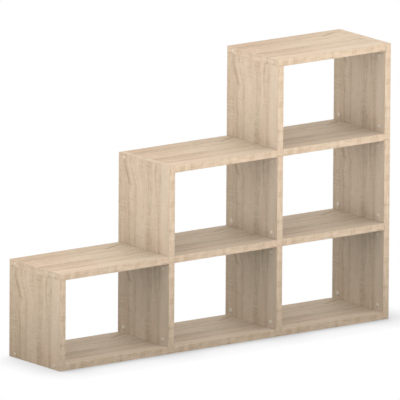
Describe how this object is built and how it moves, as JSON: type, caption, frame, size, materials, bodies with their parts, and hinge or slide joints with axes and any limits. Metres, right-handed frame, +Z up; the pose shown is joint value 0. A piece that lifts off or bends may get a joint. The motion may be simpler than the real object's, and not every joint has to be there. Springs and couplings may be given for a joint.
{
  "type": "staircase bookshelf",
  "caption": "Open-backed staircase bookshelf in pale oak decor: stacked open cells step up from a low end to a tall end. Stands on the floor and holds books and things on show.",
  "frame": {"origin": "on the floor under the middle of the shelf", "axes": "+X along the width towards the tall end, +Y towards the back, +Z up"},
  "size_m": [1.454, 0.3, 1],
  "materials": {
    "oak_board": "matt wood-grain facing",
    "oak_edge_band": "matt wood-grain",
    "cap_plastic": "satin moulded",
    "cam_zinc": "die-cast",
    "bolt_steel": "zinc plated",
    "beech_dowel": "fluted, raw"
  },
  "bodies": {
    "root": {"bottom_shelf_left": "oak_board", "bottom_shelf_middle": "oak_board", "bottom_shelf_right": "oak_board", "double_ended_bolts": "bolt_steel", "end_caps": "cap_plastic", "end_edge_bands": "oak_edge_band", "first_shelf_left": "oak_board", "first_shelf_middle": "oak_board", "first_shelf_right": "oak_board", "front_edge_bands": "oak_edge_band", "headed_bolts": "bolt_steel", "left_end_upright_lower": "oak_board", "left_inner_upright_lower": "oak_board", "left_inner_upright_middle": "oak_board", "rear_edge_bands": "oak_edge_band", "right_end_upright_lower": "oak_board", "right_end_upright_middle": "oak_board", "right_end_upright_upper": "oak_board", "right_inner_upright_lower": "oak_board", "right_inner_upright_middle": "oak_board", "right_inner_upright_upper": "oak_board", "screw_in_bolts": "bolt_steel", "second_shelf_middle": "oak_board", "second_shelf_right": "oak_board", "shelf_cam_caps": "cap_plastic", "shelf_cams": "cam_zinc", "top_shelf_right": "oak_board", "upright_cam_caps": "cap_plastic", "upright_cams": "cam_zinc", "wooden_dowels": "beech_dowel"}
  },
  "joints": []
}
